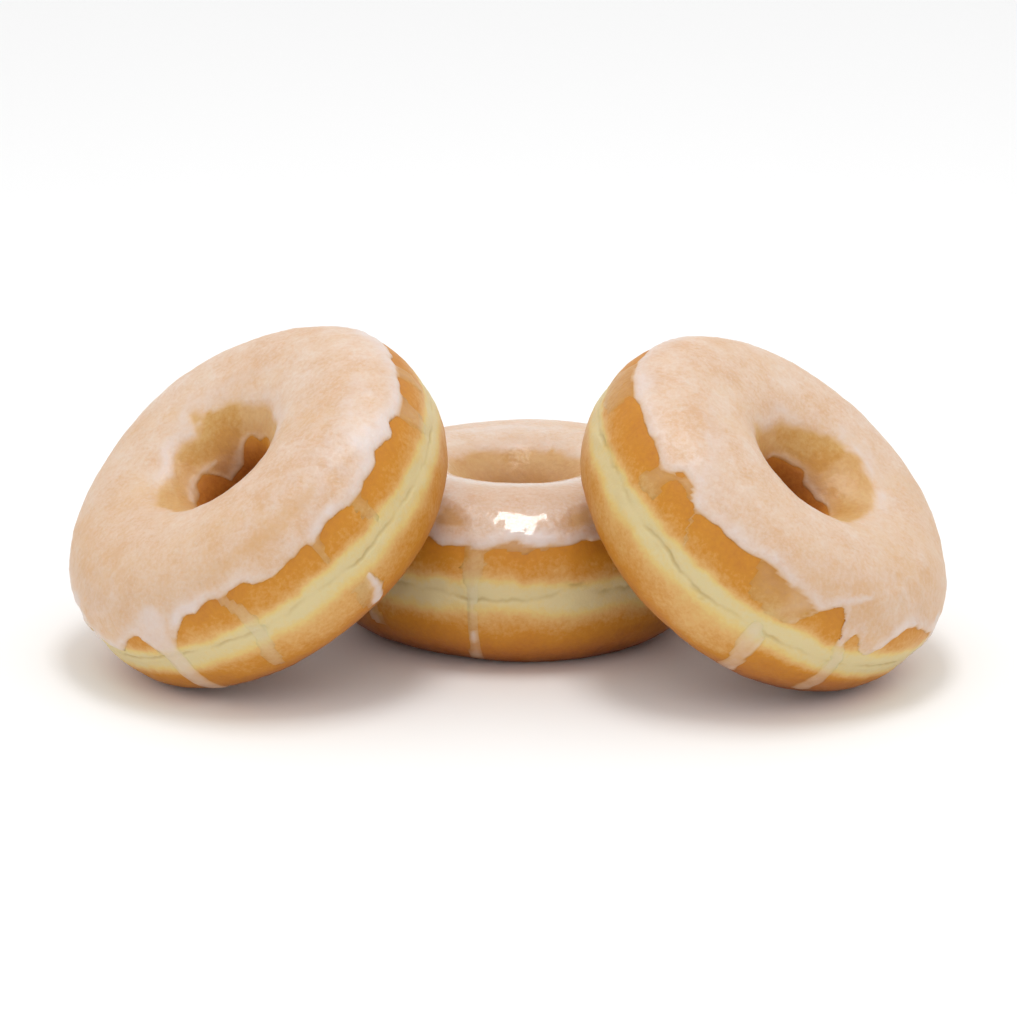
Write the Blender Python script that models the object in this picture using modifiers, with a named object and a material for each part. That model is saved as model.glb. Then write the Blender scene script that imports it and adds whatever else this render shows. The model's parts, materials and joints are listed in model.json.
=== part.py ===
"""Three glazed ring doughnuts: one lies flat and two lean on its sides.

Each doughnut is a baked ring of dough and a poured coat of glaze over its top.
Units are metres, +Z is up, and the origin is under the middle of the group.

Angles on a ring, in degrees:
  around   0 at the ring's own +X, which is the low side of a leaning ring
  across   0 on the outer rim, 90 on the crest, 180 in the hole, -90 underneath
"""

import math

import bmesh
import bpy
from mathutils import Matrix, Vector

MM = 0.001

# The ring that all three share, glaze included.
RING_RADIUS = 26.5 * MM
HALF_WIDTH = 18.5 * MM
HEIGHT_OVER_RIM = 19.3 * MM
DEPTH_UNDER_RIM = 19.2 * MM
SQUARENESS = 2.31

# How deep a doughnut's own weight flattens it on the table.
SETTLE = 0.5 * MM

# The dough is lower under its glaze by the coat and the gap below it.
GLAZE_THICKNESS = 0.8 * MM
GLAZE_GAP = 0.5 * MM
GLAZE_STARTS = 4.0
GLAZE_FULL = 30.0

# Where the coat ends: outside above the rim, and down inside the hole.
OUTER_EDGE = 31.0
INNER_EDGE = 153.0
EDGE_WAVES = ((11, 1.6, 40.0), (17, 1.0, 200.0))
INNER_WAVES = ((5, 5.0, 70.0), (8, 3.0, 10.0))

STEPS_AROUND = 60
DOUGH_STEPS_ACROSS = 20
GLAZE_STEPS_ACROSS = 24

# The coat's edge points move onto its outline by at most this share of a step.
NEAR_EDGE = 0.6
EDGE_MOVE = 0.2

# Placing: size against the shared ring, centre on the table, lean, and the way
# its low side points. A run of glaze is (angle around, half width, lowest across).
DOUGHNUTS = {
    "left": {
        "size": 1.009,
        "centre": (-57.6 * MM, -34.8 * MM),
        "lean": 38.5,
        "low_side": 209.2,
        "runs": ((5, 10, 14), (30, 4, -36), (90, 4, -34), (215, 5, 4), (298, 4, -14)),
    },
    "middle": {
        "size": 1.0,
        "centre": (0.0, 0.0),
        "lean": 0.0,
        "low_side": 0.0,
        "runs": ((255, 4, -52), (85, 4, -6), (120, 5, 8)),
    },
    "right": {
        "size": 0.981,
        "centre": (54.7 * MM, -39.3 * MM),
        "lean": 40.1,
        "low_side": -26.5,
        "runs": ((297, 5, -36), (325, 5, -24), (20, 7, 10), (75, 4, -12)),
    },
}

DOUGH_COLOUR = (0.58, 0.27, 0.06, 1.0)
GLAZE_COLOUR = (0.74, 0.50, 0.36, 1.0)


def clear_scene():
    for thing in list(bpy.data.objects):
        bpy.data.objects.remove(thing, do_unlink=True)


def new_collection(name):
    collection = bpy.data.collections.new(name)
    bpy.context.scene.collection.children.link(collection)
    return collection


def move_to(thing, collection):
    for old in list(thing.users_collection):
        old.objects.unlink(thing)
    collection.objects.link(thing)


def surface(name, colour, roughness):
    material = bpy.data.materials.new(name)
    material.use_nodes = True
    shader = material.node_tree.nodes["Principled BSDF"]
    shader.inputs["Base Color"].default_value = colour
    shader.inputs["Metallic"].default_value = 0.0
    shader.inputs["Roughness"].default_value = roughness
    return material


def ease(value, low, high):
    """Go smoothly from 0 at low to 1 at high."""
    part = min(max((value - low) / (high - low), 0.0), 1.0)
    return part * part * (3.0 - 2.0 * part)


def signed_power(value, power):
    return math.copysign(abs(value) ** power, value)


def section_point(across, lift):
    """A point of the ring's squarish section, moved out along its normal by lift."""
    angle = math.radians(across)
    height = HEIGHT_OVER_RIM if math.sin(angle) >= 0 else DEPTH_UNDER_RIM
    power = 2.0 / SQUARENESS
    out = signed_power(math.cos(angle), power)
    up = signed_power(math.sin(angle), power)
    slope = SQUARENESS - 1.0
    normal = Vector((signed_power(out, slope) / HALF_WIDTH, signed_power(up, slope) / height))
    point = Vector((HALF_WIDTH * out, height * up))
    return point + normal.normalized() * lift


def dough_lift(across):
    """The dough is inside the ring's outline where the glaze covers it."""
    from_side = across if across <= 90 else 180 - across
    return -(GLAZE_THICKNESS + GLAZE_GAP) * ease(from_side, GLAZE_STARTS, GLAZE_FULL)


def waves(around, parts):
    return sum(size * math.sin(math.radians(count * around + start)) for count, size, start in parts)


def outer_edge(around, runs):
    """The angle across at which the coat ends outside, with its runs hanging below."""
    edge = OUTER_EDGE + waves(around, EDGE_WAVES)
    for centre, half_width, lowest in runs:
        off = (around - centre + 180.0) % 360.0 - 180.0
        share = math.exp(-((off / half_width) ** 4))
        edge += (lowest - edge) * share
    return edge


def inner_edge(around):
    return INNER_EDGE + waves(around, INNER_WAVES)


def add_torus(name, steps_across, collection):
    bpy.ops.mesh.primitive_torus_add(
        major_segments=STEPS_AROUND,
        minor_segments=steps_across,
        major_radius=RING_RADIUS,
        minor_radius=HALF_WIDTH,
    )
    ring = bpy.context.object
    ring.name = name
    ring.data.name = name
    move_to(ring, collection)
    return ring


def angles_of(point):
    """The angles around and across of a point on or in a plain torus."""
    around = math.degrees(math.atan2(point.y, point.x))
    across = math.degrees(math.atan2(point.z, math.hypot(point.x, point.y) - RING_RADIUS))
    return around, across if across > -135.0 else across + 360.0


def place(vertex, around, across, lift, size):
    """Put a vertex on the ring's own section, at these angles."""
    out, up = section_point(across, lift)
    radius = RING_RADIUS + out
    angle = math.radians(around)
    flat = Vector((radius * math.cos(angle), radius * math.sin(angle), up))
    vertex.co = flat * size


def make_dough(name, spec, collection, material):
    dough = add_torus(name, DOUGH_STEPS_ACROSS, collection)
    mesh = bmesh.new()
    mesh.from_mesh(dough.data)
    for vertex in mesh.verts:
        around, across = angles_of(vertex.co)
        place(vertex, around, across, dough_lift(across), spec["size"])
    mesh.to_mesh(dough.data)
    mesh.free()
    dough.data.materials.append(material)
    dough.data.shade_smooth()
    return dough


def trim_to_coat(mesh, runs):
    """Delete the faces that lie past either edge of the coat."""
    bare = []
    for face in mesh.faces:
        around, across = angles_of(face.calc_center_median())
        if not outer_edge(around, runs) < across < inner_edge(around):
            bare.append(face)
    bmesh.ops.delete(mesh, geom=bare, context="FACES")


def snapped(around, across, runs):
    """Move an angle across towards the coat's edge, where that is near."""
    step = 360.0 / GLAZE_STEPS_ACROSS
    for edge in (outer_edge(around, runs), inner_edge(around)):
        off = edge - across
        if abs(off) < NEAR_EDGE * step:
            return across + min(max(off, -EDGE_MOVE * step), EDGE_MOVE * step)
    return across


def make_glaze(name, spec, collection, material):
    """Trim a torus to the coat's outline, shape it and give it thickness."""
    glaze = add_torus(name, GLAZE_STEPS_ACROSS, collection)
    mesh = bmesh.new()
    mesh.from_mesh(glaze.data)
    trim_to_coat(mesh, spec["runs"])
    on_edge = {vertex for vertex in mesh.verts if vertex.is_boundary}
    for vertex in mesh.verts:
        around, across = angles_of(vertex.co)
        if vertex in on_edge:
            across = snapped(around, across, spec["runs"])
        place(vertex, around, across, dough_lift(across) + GLAZE_GAP, spec["size"])
    mesh.to_mesh(glaze.data)
    mesh.free()
    coat = glaze.modifiers.new("coat", "SOLIDIFY")
    coat.thickness = GLAZE_THICKNESS
    coat.offset = 1.0
    glaze.data.materials.append(material)
    glaze.data.shade_smooth()
    return glaze


def rest_height(spec):
    """How high a leaning ring's centre is when it stands on the table and has settled."""
    lean = math.radians(spec["lean"])
    dual = SQUARENESS / (SQUARENESS - 1.0)
    side = (HALF_WIDTH * math.sin(lean)) ** dual
    under = (DEPTH_UNDER_RIM * math.cos(lean)) ** dual
    reach = RING_RADIUS * math.sin(lean) + (side + under) ** (1.0 / dual)
    return reach * spec["size"] - SETTLE


def add_holder(name, collection, parent, spec):
    holder = bpy.data.objects.new(name, None)
    collection.objects.link(holder)
    holder.parent = parent
    holder.location = (*spec["centre"], rest_height(spec))
    holder.rotation_euler = (0.0, math.radians(spec["lean"]), math.radians(spec["low_side"]))
    return holder


def add_table(collection, parent):
    """A block whose top is the table: what reaches below it is cut off flat."""
    size = (400 * MM, 400 * MM, 20 * MM)
    bpy.ops.mesh.primitive_cube_add(size=1.0)
    table = bpy.context.object
    table.name = "table_cutter"
    table.data.transform(Matrix.Translation((0, 0, -0.5 * size[2])) @ Matrix.Diagonal((*size, 1)))
    table.hide_render = True
    table.display_type = "WIRE"
    table.parent = parent
    move_to(table, collection)
    return table


def flatten_on(table, dough):
    cut = dough.modifiers.new("contact", "BOOLEAN")
    cut.operation = "DIFFERENCE"
    cut.solver = "EXACT"
    cut.object = table


def put_origin_below(group, pieces):
    """Slide the whole group until the middle of its outline is over the origin."""
    bpy.context.view_layer.update()
    graph = bpy.context.evaluated_depsgraph_get()
    corners = []
    for piece in pieces:
        ready = piece.evaluated_get(graph)
        corners += [ready.matrix_world @ vertex.co for vertex in ready.data.vertices]
    for axis in (0, 1):
        values = [corner[axis] for corner in corners]
        group.location[axis] = -0.5 * (min(values) + max(values))
    bpy.context.view_layer.update()


def main():
    clear_scene()
    collection = new_collection("glazed_ring_doughnuts")
    cutters = new_collection("cutters")
    group = bpy.data.objects.new("doughnut_group", None)
    collection.objects.link(group)
    table = add_table(cutters, group)
    pieces = []
    for side, spec in DOUGHNUTS.items():
        holder = add_holder(side + "_holder", collection, group, spec)
        crust = surface(side + "_dough", DOUGH_COLOUR, 0.55)
        sugar = surface(side + "_glaze", GLAZE_COLOUR, 0.35)
        dough = make_dough(side + "_dough", spec, collection, crust)
        glaze = make_glaze(side + "_glaze", spec, collection, sugar)
        for piece in (dough, glaze):
            piece.parent = holder
            pieces.append(piece)
        flatten_on(table, dough)
    put_origin_below(group, pieces)


main()
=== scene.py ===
"""Three glazed ring doughnuts, laid out as a Blender add-on and run as a script.

Each doughnut is a ring of fried dough and a thin, poured coat of sugar glaze.
Angles on a ring, in degrees:
  around   0 at the ring's own +X, which is the low side of a leaning ring
  across   0 on the outer rim, 90 on the crest, 180 in the hole, -90 underneath
"""
import json
import math

import bpy
import numpy as np
from bpy.props import EnumProperty, FloatProperty, FloatVectorProperty, IntProperty, PointerProperty
from bpy.types import Operator, Panel, PropertyGroup
from mathutils import Euler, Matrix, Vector

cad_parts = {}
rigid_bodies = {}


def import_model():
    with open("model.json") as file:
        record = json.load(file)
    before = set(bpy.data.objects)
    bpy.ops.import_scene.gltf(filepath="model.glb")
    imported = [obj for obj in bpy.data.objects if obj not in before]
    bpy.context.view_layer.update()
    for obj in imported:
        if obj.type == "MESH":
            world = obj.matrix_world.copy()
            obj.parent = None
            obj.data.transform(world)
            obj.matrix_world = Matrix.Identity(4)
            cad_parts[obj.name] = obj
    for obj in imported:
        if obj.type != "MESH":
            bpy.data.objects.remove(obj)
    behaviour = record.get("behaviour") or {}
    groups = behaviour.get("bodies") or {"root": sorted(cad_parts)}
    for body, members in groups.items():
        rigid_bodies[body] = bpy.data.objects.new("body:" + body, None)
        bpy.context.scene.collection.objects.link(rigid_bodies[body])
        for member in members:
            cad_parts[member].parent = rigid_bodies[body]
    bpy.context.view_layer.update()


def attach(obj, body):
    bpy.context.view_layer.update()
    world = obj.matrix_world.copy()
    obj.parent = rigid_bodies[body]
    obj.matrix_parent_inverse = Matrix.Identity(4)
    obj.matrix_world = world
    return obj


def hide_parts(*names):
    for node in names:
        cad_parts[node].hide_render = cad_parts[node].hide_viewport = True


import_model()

bl_info = {
    "name": "Glazed ring doughnuts",
    "version": (1, 0, 0),
    "blender": (4, 5, 0),
    "location": "View3D > Sidebar > Doughnuts",
    "description": "Builds glazed ring doughnuts that lean on each other",
    "category": "Add Mesh",
}

MM = 0.001
SIDES = ("left", "middle", "right")

# Where each coat ends outside, as {around: across}.
OUTER_EDGE = {
    "left": {
        0: 12, 6: 9, 11: 9, 14: 15, 17: 22, 19: 24, 22: 22, 25: 14, 27: 8, 31: 6, 34: 15, 37: 24,
        40: 30, 45: 31, 48: 33, 50: 36, 52: 35, 55: 33, 58: 34, 63: 34, 65: 31, 67: 28, 71: 26,
        76: 28, 81: 29, 85: 28, 90: 29, 95: 30, 100: 27, 104: 26, 108: 28, 113: 28, 116: 30,
        118: 33, 121: 30, 125: 27, 128: 29, 130: 32, 133: 28, 138: 26, 144: 28, 150: 30, 160: 31,
        168: 28, 176: 31, 186: 27, 195: 30, 203: 24, 212: 31, 222: 29, 230: 33, 241: 27, 252: 31,
        262: 26, 274: 32, 284: 29, 292: 20, 300: 28, 312: 32, 323: 27, 334: 30, 346: 21, 353: 16,
    },
    "middle": {
        5: 30, 18: 34, 30: 28, 41: 32, 52: 27, 63: 33, 75: 30, 86: 22, 95: 31, 107: 33, 118: 26,
        130: 32, 142: 29, 155: 33, 167: 28, 178: 31, 190: 27, 201: 32, 212: 26, 222: 28, 232: 32,
        240: 35, 244: 34, 246: 31, 248: 29, 251: 30, 255: 31, 260: 29, 263: 32, 266: 34, 269: 36,
        272: 34, 276: 32, 281: 32, 285: 31, 288: 32, 292: 34, 299: 31, 310: 33, 322: 28, 335: 32,
        348: 27,
    },
    "right": {
        0: 24, 8: 17, 16: 22, 24: 30, 36: 27, 47: 32, 58: 28, 70: 24, 80: 31, 92: 28, 104: 33,
        115: 27, 127: 31, 139: 28, 150: 32, 162: 29, 174: 33, 186: 31, 196: 29, 208: 29, 213: 30,
        218: 32, 224: 33, 227: 32, 234: 34, 238: 34, 241: 31, 245: 31, 247: 36, 249: 42, 252: 44,
        255: 42, 257: 37, 260: 33, 263: 34, 268: 37, 276: 37, 282: 39, 286: 42, 290: 43, 295: 40,
        301: 38, 304: 37, 307: 35, 309: 30, 311: 34, 313: 38, 316: 41, 317.5: 42, 318.7: 34,
        320: 17, 321.5: 12, 323: 16, 324: 24, 325.5: 27, 327: 24, 328.5: 15, 331: 12, 334: 13,
        338: 18, 340: 26, 343: 31, 347: 34, 352: 32,
    },
}
# Where the coat turns thin on its way into the hole, in the same way.
THIN_EDGE = {
    "left": {
        0: 120, 30: 122, 60: 126, 90: 122, 120: 124, 150: 119, 190: 121, 215: 120, 230: 117,
        244: 114, 253: 111, 256: 116, 259: 122, 265: 126, 272: 124, 282: 126, 292: 129, 302: 131,
        312: 129, 320: 126, 335: 122,
    },
    "middle": {
        0: 118, 40: 122, 60: 121, 80: 122, 95: 124, 105: 123, 120: 121, 140: 118, 180: 122,
        220: 118, 260: 122, 300: 119, 330: 121,
    },
    "right": {
        0: 118, 20: 118, 40: 116, 50: 113, 62: 112, 75: 109, 84: 109, 87: 113, 95: 114, 103: 118,
        110: 121, 120: 123, 130: 125, 140: 128, 150: 127, 165: 129, 180: 131, 200: 126, 235: 122,
        270: 126, 305: 121, 335: 119,
    },
}
# Where the coat ends in the hole.
INNER_EDGE = {
    "left": {
        0: 153, 30: 156, 60: 151, 95: 156, 130: 148, 160: 145, 180: 147, 205: 149, 215: 152,
        224: 158, 233: 164, 246: 168, 262: 170, 270: 162, 277: 156, 285: 153, 297: 153, 308: 156,
        330: 158, 345: 156,
    },
    "middle": {
        0: 152, 30: 160, 62: 158, 95: 166, 120: 158, 150: 164, 185: 152, 220: 158, 250: 150,
        290: 157, 325: 151,
    },
    "right": {
        0: 150, 22: 154, 40: 155, 50: 157, 60: 160, 75: 161, 90: 159, 100: 156, 110: 155, 130: 155,
        150: 155, 158: 158, 175: 160, 200: 153, 235: 158, 270: 150, 305: 156, 335: 149,
    },
}
# Patches where the glaze is so thin that the crust shows: (depth in mm, outline).
THIN_PATCHES = {
    "left": (
        (0.20, ((52, 43), (64, 46), (78, 43), (92, 45), (99, 51), (88, 57), (70, 56), (56, 53))),
        (0.012, ((214, 122), (228, 120), (242, 117), (247, 121), (255, 130), (270, 130), (284, 129),
                 (292, 137), (284, 146), (262, 148), (238, 154), (224, 148), (212, 136))),
        (0.02, ((284, 138), (300, 139), (322, 138), (330, 141), (300, 142), (286, 143))),
    ),
    "middle": (
        (0.02, ((79, 126), (85, 123), (95, 124), (103, 127), (106, 133), (98, 136), (88, 133))),
        (0.03, ((56, 119), (62, 119), (63, 125), (57, 126))),
        (0.10, ((243, 62), (249, 58), (254, 48), (248, 42), (242, 46))),
        (0.10, ((285, 46), (290, 42), (296, 48), (296, 60), (289, 58))),
    ),
    "right": (
        (0.012, ((84, 121), (88, 115), (96, 116), (105, 121), (115, 126), (126, 127), (140, 131),
                 (158, 135), (156, 145), (130, 149), (100, 149), (84, 148), (81, 134))),
        (0.03, ((4, 126), (34, 134), (62, 142), (60, 147), (34, 146), (4, 140))),
    ),
}
# Sheets of thin glaze on the side: (depth in mm, outline).
THIN_SHEETS = {
    "left": (
        (0.045, ((83, 30), (88, 30), (87.5, 12), (86, 6), (83.5, 8))),
        (0.03, ((99.5, 30), (105, 30), (105, 8), (103, 2), (100, 6))),
        (0.04, ((133, 30), (142, 29), (141, 4), (137, -2), (134, 6))),
        (0.03, ((150, 31), (157, 31), (156, 8), (151, 4))),
        (0.02, ((84, -13), (92, -14), (93, -30), (91, -46), (85, -46))),
        (0.05, ((177, 31), (183, 31), (182, 4), (178, 0))),
        (0.05, ((262, 31), (270, 31), (268, 10), (263, 8))),
    ),
    "middle": (
        (0.045, ((253, 33), (261, 33), (261, 14), (260, 4), (254.5, 5), (253.5, 18))),
        (0.05, ((261, 38), (266, 40), (275, 40), (284, 36), (284, 29), (276, 27), (268, 26.5),
                (261, 28))),
        (0.05, ((219, 30), (225, 30), (226, -6), (227, -32), (220, -32), (220, 0))),
        (0.05, ((136, 31), (145, 31), (143, 6), (138, 2))),
        (0.05, ((296, 33), (306, 33), (304, 14), (298, 10))),
    ),
    "right": (
        (0.022, ((284.5, 43), (286, 27), (288.5, 15), (292, 12), (303, 12), (305, 15),
                 (309, 29), (309, 40))),
        (0.065, ((297, 42), (297, 26), (296, 16), (299, 12.5), (303, 12.5), (305, 15),
                 (309, 29), (309, 40))),
        (0.03, ((242, 34), (250, 36), (250.5, 12), (246, 9), (241, 12))),
        (0.045, ((249, 46), (257, 46), (257.5, 33), (250, 32))),
        (0.018, ((196, 30), (215, 31), (216, 8), (207, 2), (196, 5))),
        (0.05, ((86, 30), (94, 30), (93, 6), (88, 2))),
    ),
}
# Runs of glaze: (depth in mm, path), a path of (around, across, half width in mm).
RUNS = {
    "left": (
        (0.42, ((29, 28, 4.4), (28.8, 18, 3.2))),
        (0.20, ((28.8, 22, 4.0), (29.4, 10, 3.2), (29.8, -2, 3.0), (29.6, -20, 2.8),
                (29.2, -42, 2.5))),
        (0.055, ((53, 36, 0.9), (55, 28, 1.5), (57.5, 16, 1.9), (58, 0, 2.1), (56, -14, 2.1),
                 (55, -29, 1.9))),
        (0.70, ((91.4, -14, 0.7), (91.2, -28, 1.1), (90, -40, 1.9))),
        (0.10, ((160, 146, 0.8), (190, 145, 1.0), (212, 148, 1.0), (226, 156, 1.4), (240, 163, 1.8),
                (262, 169, 2.0))),
        (0.22, ((260, 153, 0.5), (275, 151, 0.9), (300, 149, 1.1), (332, 151, 1.2))),
        (0.35, ((249, 121, 0.3), (259, 123, 0.7), (265, 125, 0.5))),
        (0.55, ((203, 30, 2.2), (203, 10, 1.6), (204, -8, 1.5))),
        (0.50, ((241, 30, 2.0), (241, 8, 1.5))),
        (0.55, ((292, 28, 2.2), (292.5, 6, 1.6), (292, -24, 1.6))),
        (0.50, ((346, 28, 2.4), (347, 8, 2.1))),
    ),
    "middle": (
        (0.06, ((257.3, 6, 1.6), (257.2, -6, 1.2), (257.4, -20, 1.4), (257.2, -44, 1.7),
                (256, -60, 1.8))),
        (0.30, ((257.4, -24, 0.7), (257.1, -31, 1.1))),
        (0.16, ((257.2, -42, 1.0), (256.4, -56, 1.1))),
        (0.16, ((222.5, -20, 1.0), (223, -29, 1.5))),
        (0.55, ((86, 30, 2.2), (86.4, 8, 1.6), (86, -14, 1.5))),
        (0.50, ((118, 30, 2.0), (118, 8, 1.5))),
        (0.50, ((30, 30, 1.9), (30.3, 2, 1.4))),
        (0.55, ((167, 30, 2.2), (167, 4, 1.6), (166.6, -30, 1.7))),
        (0.45, ((335, 32, 1.8), (335, 12, 1.3))),
    ),
    "right": (
        (0.16, ((304, 15, 0.7), (308, 27, 0.6), (311.5, 36, 0.5))),
        (0.60, ((313.5, 42, 0.4), (318, 46, 0.7), (323, 50, 0.7), (328, 54, 0.4))),
        (0.12, ((296.8, 1, 1.8), (297.3, -7, 2.4), (298.8, -20, 2.1), (300, -34, 2.1),
                (301, -50, 2.2))),
        (0.26, ((301, -2, 0.5), (301.3, -20, 0.7), (302.4, -48, 0.9))),
        (0.10, ((321.8, 14, 1.4), (325.0, 2, 2.0), (325.3, -14, 2.5), (325.6, -32, 2.6))),
        (0.06, ((260.5, 35, 0.6), (263, 20, 0.7), (266.5, 9, 0.7))),
        (0.16, ((38, 152, 0.5), (52, 155, 0.9), (66, 157, 1.2), (90, 156, 1.0), (108, 152, 0.8),
                (135, 151, 0.9), (158, 154, 0.9))),
        (0.25, ((62, 109, 0.5), (78, 107, 0.9), (96, 110, 0.6))),
        (0.55, ((8, 24, 2.6), (8, 4, 1.9), (7.6, -14, 1.7))),
        (0.50, ((70, 30, 2.0), (70, 12, 1.5), (70.4, -4, 1.5))),
        (0.50, ((115, 30, 1.9), (115, 8, 1.5))),
        (0.50, ((162, 30, 1.9), (162, 4, 1.4), (162, -18, 1.5))),
    ),
}
# Broad pale streaks of painted sheen and painted reflection on the glaze: (strength, path) with a
# path as above.
SHEEN_STREAKS = {
    "left": (
        (0.40, ((86, 46, 0.8), (100, 50, 1.6), (122, 53, 2.4), (146, 55, 1.8))),
        (0.30, ((196, 96, 0.8), (222, 104, 1.8), (246, 103, 1.6), (262, 106, 0.8))),
        (0.25, ((62, 62, 0.6), (92, 68, 1.5), (128, 76, 1.2))),
    ),
    "middle": (
        (0.25, ((262, 38, 1.0), (275, 40, 1.2), (285, 37, 1.0))),
        (0.30, ((60, 96, 1.0), (92, 99, 1.6), (120, 96, 1.0))),
    ),
    "right": (
        (0.35, ((262, 46, 0.8), (254, 58, 1.8), (244, 72, 1.6), (225, 84, 1.0))),
        (0.30, ((40, 104, 0.8), (66, 102, 1.6), (96, 103, 1.2))),
        (0.25, ((296, 58, 0.8), (318, 66, 1.6), (342, 70, 1.4))),
    ),
}
# Where the crumb tore open beside the seam: (around, across, half length in mm around).
TEARS = {
    "left": ((58, 0.5, 1.8),),
    "middle": ((287, 4.6, 2.4), (296, 0.0, 1.8)),
    "right": ((277, -2.6, 2.6),),
}
# The seam's line where it wanders, as {around: across}.
SEAM = {
    "left": {
        0: 2.5, 20: 3, 35: 3.4, 50: 2, 60: 0.6, 75: 1, 85: -1, 92: -3, 105: -1.5, 125: -3,
        145: -2.5, 180: -1, 215: -2, 250: 0.5, 285: -1, 320: 1,
    },
    "middle": {
        0: 0.5, 30: -1, 70: 1, 110: -0.5, 150: 1.2, 190: 0, 220: 0.5, 238: 1, 250: 0.4, 256: -1.8,
        260: -2, 268: -1.3, 273: -1.8, 278: 0, 284: 2.4, 290: 1.2, 296: -0.4, 302: 0.4, 330: 1,
    },
    "right": {
        0: 2, 40: 0.5, 90: -1, 140: -3, 185: -2, 215: -1, 225: 1, 236: 1.6, 250: 0, 262: 1.4,
        268: -0.8, 275: -2.2, 283: -1.8, 293: 0.8, 305: 0.4, 330: 1, 345: 3,
    },
}
# How far the pale band shifts towards the glaze, on the low side and all round, in degrees.
BAND_SWING = {"left": (3.3, -1.0), "middle": (0.0, 0.3), "right": (4.0, 0.3)}

# How brown the crust is, from 0 for the pale band to 1 for the darkest, as {across: brownness}.
# Far under the ring and deep in the hole these levels hold painted shade as well as darker crust.
CRUST_AND_SHADE = {
    -180: 0.88, -150: 0.84, -120: 0.80, -90: 0.80, -62: 0.74, -50: 0.64, -40: 0.51, -30: 0.41,
    -20: 0.37, -14: 0.32, -10: 0.22, -7: 0.11, -4.5: 0.03, -2.5: 0.0, 2: 0.0, 4.5: 0.06, 6.5: 0.18,
    8.5: 0.33, 12: 0.44, 20: 0.50, 28: 0.56, 36: 0.58, 60: 0.50, 90: 0.46, 112: 0.42, 135: 0.44,
    148: 0.52, 158: 0.74, 180: 0.90,
}
# Painted shade, and painted light below 0: how much darker the underside is each way, as {around:
# extra}.
UNDERSIDE_SHADE = {
    "left": {
        0: 0.22, 30: 0.20, 44: 0.13, 56: 0.05, 75: 0.0, 94: 0.05, 130: 0.07, 240: 0.08,
    },
    "middle": {
        0: 0.20, 90: 0.12, 180: 0.20, 225: 0.25, 252: 0.19, 275: 0.10, 300: 0.18,
    },
    "right": {
        0: 0.30, 90: 0.08, 215: 0.05, 255: 0.03, 278: -0.05, 294: -0.01, 304: 0.18, 330: 0.32,
    },
}
# How far below the rim that painted shade is fully there, in degrees across.
UNDERSIDE_SHADE_FADE = {"left": 16.0, "middle": 34.0, "right": 16.0}
# Swells and hollows of the baked shape: (around, across, spread around, spread across, height in mm).
SWELLS = {
    "left": ((335, 5, 58, 60, -0.9), (350, -30, 40, 35, -0.4), (150, 28, 42, 36, 1.0)),
    "middle": (),
    "right": ((14, -28, 48, 42, -1.0), (206, 25, 42, 34, 1.0)),
}
# Where the glaze has slumped into folds: (around, spread, lowest across, highest across, strength).
SLACK = {
    "left": ((2, 22, 4, 62, 1.0), (104, 26, 33, 62, 0.45)),
    "middle": (),
    "right": ((352, 22, 8, 66, 1.0), (258, 14, 38, 60, 0.35)),
}
# How milky the coat's lower edge is, and how far in mm it has crept beyond its outline.
EDGE_LOOK = {"left": (0.68, 0.9), "middle": (0.75, 0.3), "right": (0.45, 0.5)}
# How deep the glaze lies, as {across: depth in mm}.
COAT = {20: 0.40, 60: 0.42, 90: 0.38, 115: 0.36, 180: 0.30}
# The same in mm for the thin film in the hole, and the raised lip where that film ends.
FILM = 0.055
LIP = 0.06
# How much thinner, as a share, the coat is on the low side of a doughnut that leans.
LOW_SIDE_THINNING = 0.38
# How steeply the glaze rises from its edge, in the hole, and at the border of a run or sheet.
EDGE_SLOPE = 0.85
HOLE_SLOPE = 0.45
BORDER_DROP = 0.6
# The fillet in mm at the foot of a sheet, of a run, and of a run deeper than THICK_RUN.
SHEET_FILLET = 0.01
RUN_FILLET = 0.03
THICK_RUN = 0.3
THICK_RUN_FILLET = 0.35
# How far each edge of the coat lies from the ring's axis, in mm.
OUTER_EDGE_RADIUS = 45.0
THIN_EDGE_RADIUS = 14.0
INNER_EDGE_RADIUS = 10.0
# Where the middle coat is still wet, by the angle across: (starts, full, full until, ends).
WET_BANDS = ((24.0, 40.0, 62.0, 76.0), (88.0, 96.0, 108.0, 116.0))
# Between these depths in mm the glaze comes to hide the crust's grain, and to lie in folds.
HIDES_GRAIN = (0.10, 0.45)
FOLDS = (0.10, 0.40)
# The thinnest wall of the coat, as a share of the thickest.
THINNEST_WALL = 0.04

# Relief in mm: low lumps, the hollow along the rim, room for the glaze, the seam and pimples.
LUMPS = 0.05
RIM_HOLLOW = 0.22
ROOM_FOR_GLAZE = 0.40
CRACK_DEPTH = 0.34
PIMPLES = 0.03
# Half widths in mm of the seam's crack and of a tear.
CRACK_WIDTH = 0.18
TEAR_WIDTH = 0.42
# The seam's small waver, as {waves around: degrees}, and the waves in how far it has opened.
SEAM_WAVER = {29: 0.30, 47: 0.28, 83: 0.26, 131: 0.2}
SEAM_OPENING = 0.45
OPENING_SWING = 0.24
OPENING_WAVES = (5, 9, 17, 31)
# A coat's edge: its step in degrees, how many steps it is rounded over, and its small waves.
EDGE_STEP = 0.25
EDGE_WINDOW = 16
EDGE_WAVES = (23, 37, 53, 71)
# How high that waver is outside, and how widely each edge is rounded, in degrees.
OUTER_WAVER = 0.3
OUTER_ROUNDING = 0.9
HOLE_ROUNDING = 2.4

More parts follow.
